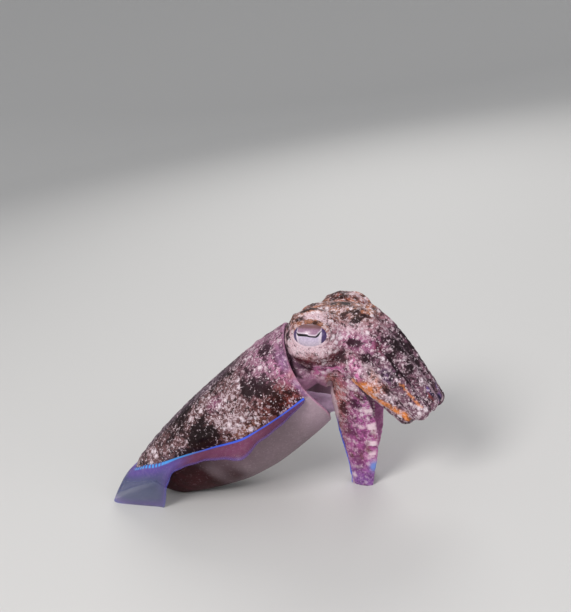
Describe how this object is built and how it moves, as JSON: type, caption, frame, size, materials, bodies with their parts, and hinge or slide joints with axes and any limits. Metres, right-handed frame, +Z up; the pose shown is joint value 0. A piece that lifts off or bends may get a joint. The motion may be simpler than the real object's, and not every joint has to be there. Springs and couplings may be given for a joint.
{
  "type": "broadclub cuttlefish",
  "caption": "Life-size still model of a broadclub cuttlefish resting on its belly and lower arms, head raised, arms drooping, with suckers, lidded eyes and rippling fins.",
  "frame": {"origin": "on the floor under the middle of the whole animal", "axes": "+X along the mantle towards the head, +Y to the animal's left, +Z up"},
  "size_m": [0.2286, 0.0992, 0.1254],
  "materials": {
    "mantle_skin": "satin, mottled dark brown and maroon with pale pink flecks, beige belly",
    "head_skin": "satin, mottled brown and white",
    "arm_skin": "satin, dark with orange and blue margins and white spots",
    "fin_membrane": "thin translucent violet membrane with a blue line at its base",
    "funnel_skin": "satin pale lavender",
    "eye_gloss": "polished, silvery with a W-shaped black pupil"
  },
  "bodies": {
    "root": {"mantle": "mantle_skin", "fin_right": "fin_membrane", "fin_left": "fin_membrane", "funnel": "funnel_skin", "head": "head_skin", "eye_right": "eye_gloss", "eye_left": "eye_gloss", "arm_1_right_base": "arm_skin", "arm_1_right_tip": "arm_skin", "arm_2_right_base": "arm_skin", "arm_2_right_tip": "arm_skin", "arm_3_right_base": "arm_skin", "arm_3_right_tip": "arm_skin", "arm_4_right_base": "arm_skin", "arm_4_right_tip": "arm_skin", "arm_1_left_base": "arm_skin", "arm_1_left_tip": "arm_skin", "arm_2_left_base": "arm_skin", "arm_2_left_tip": "arm_skin", "arm_3_left_base": "arm_skin", "arm_3_left_tip": "arm_skin", "arm_4_left_base": "arm_skin", "arm_4_left_tip": "arm_skin"}
  },
  "joints": []
}
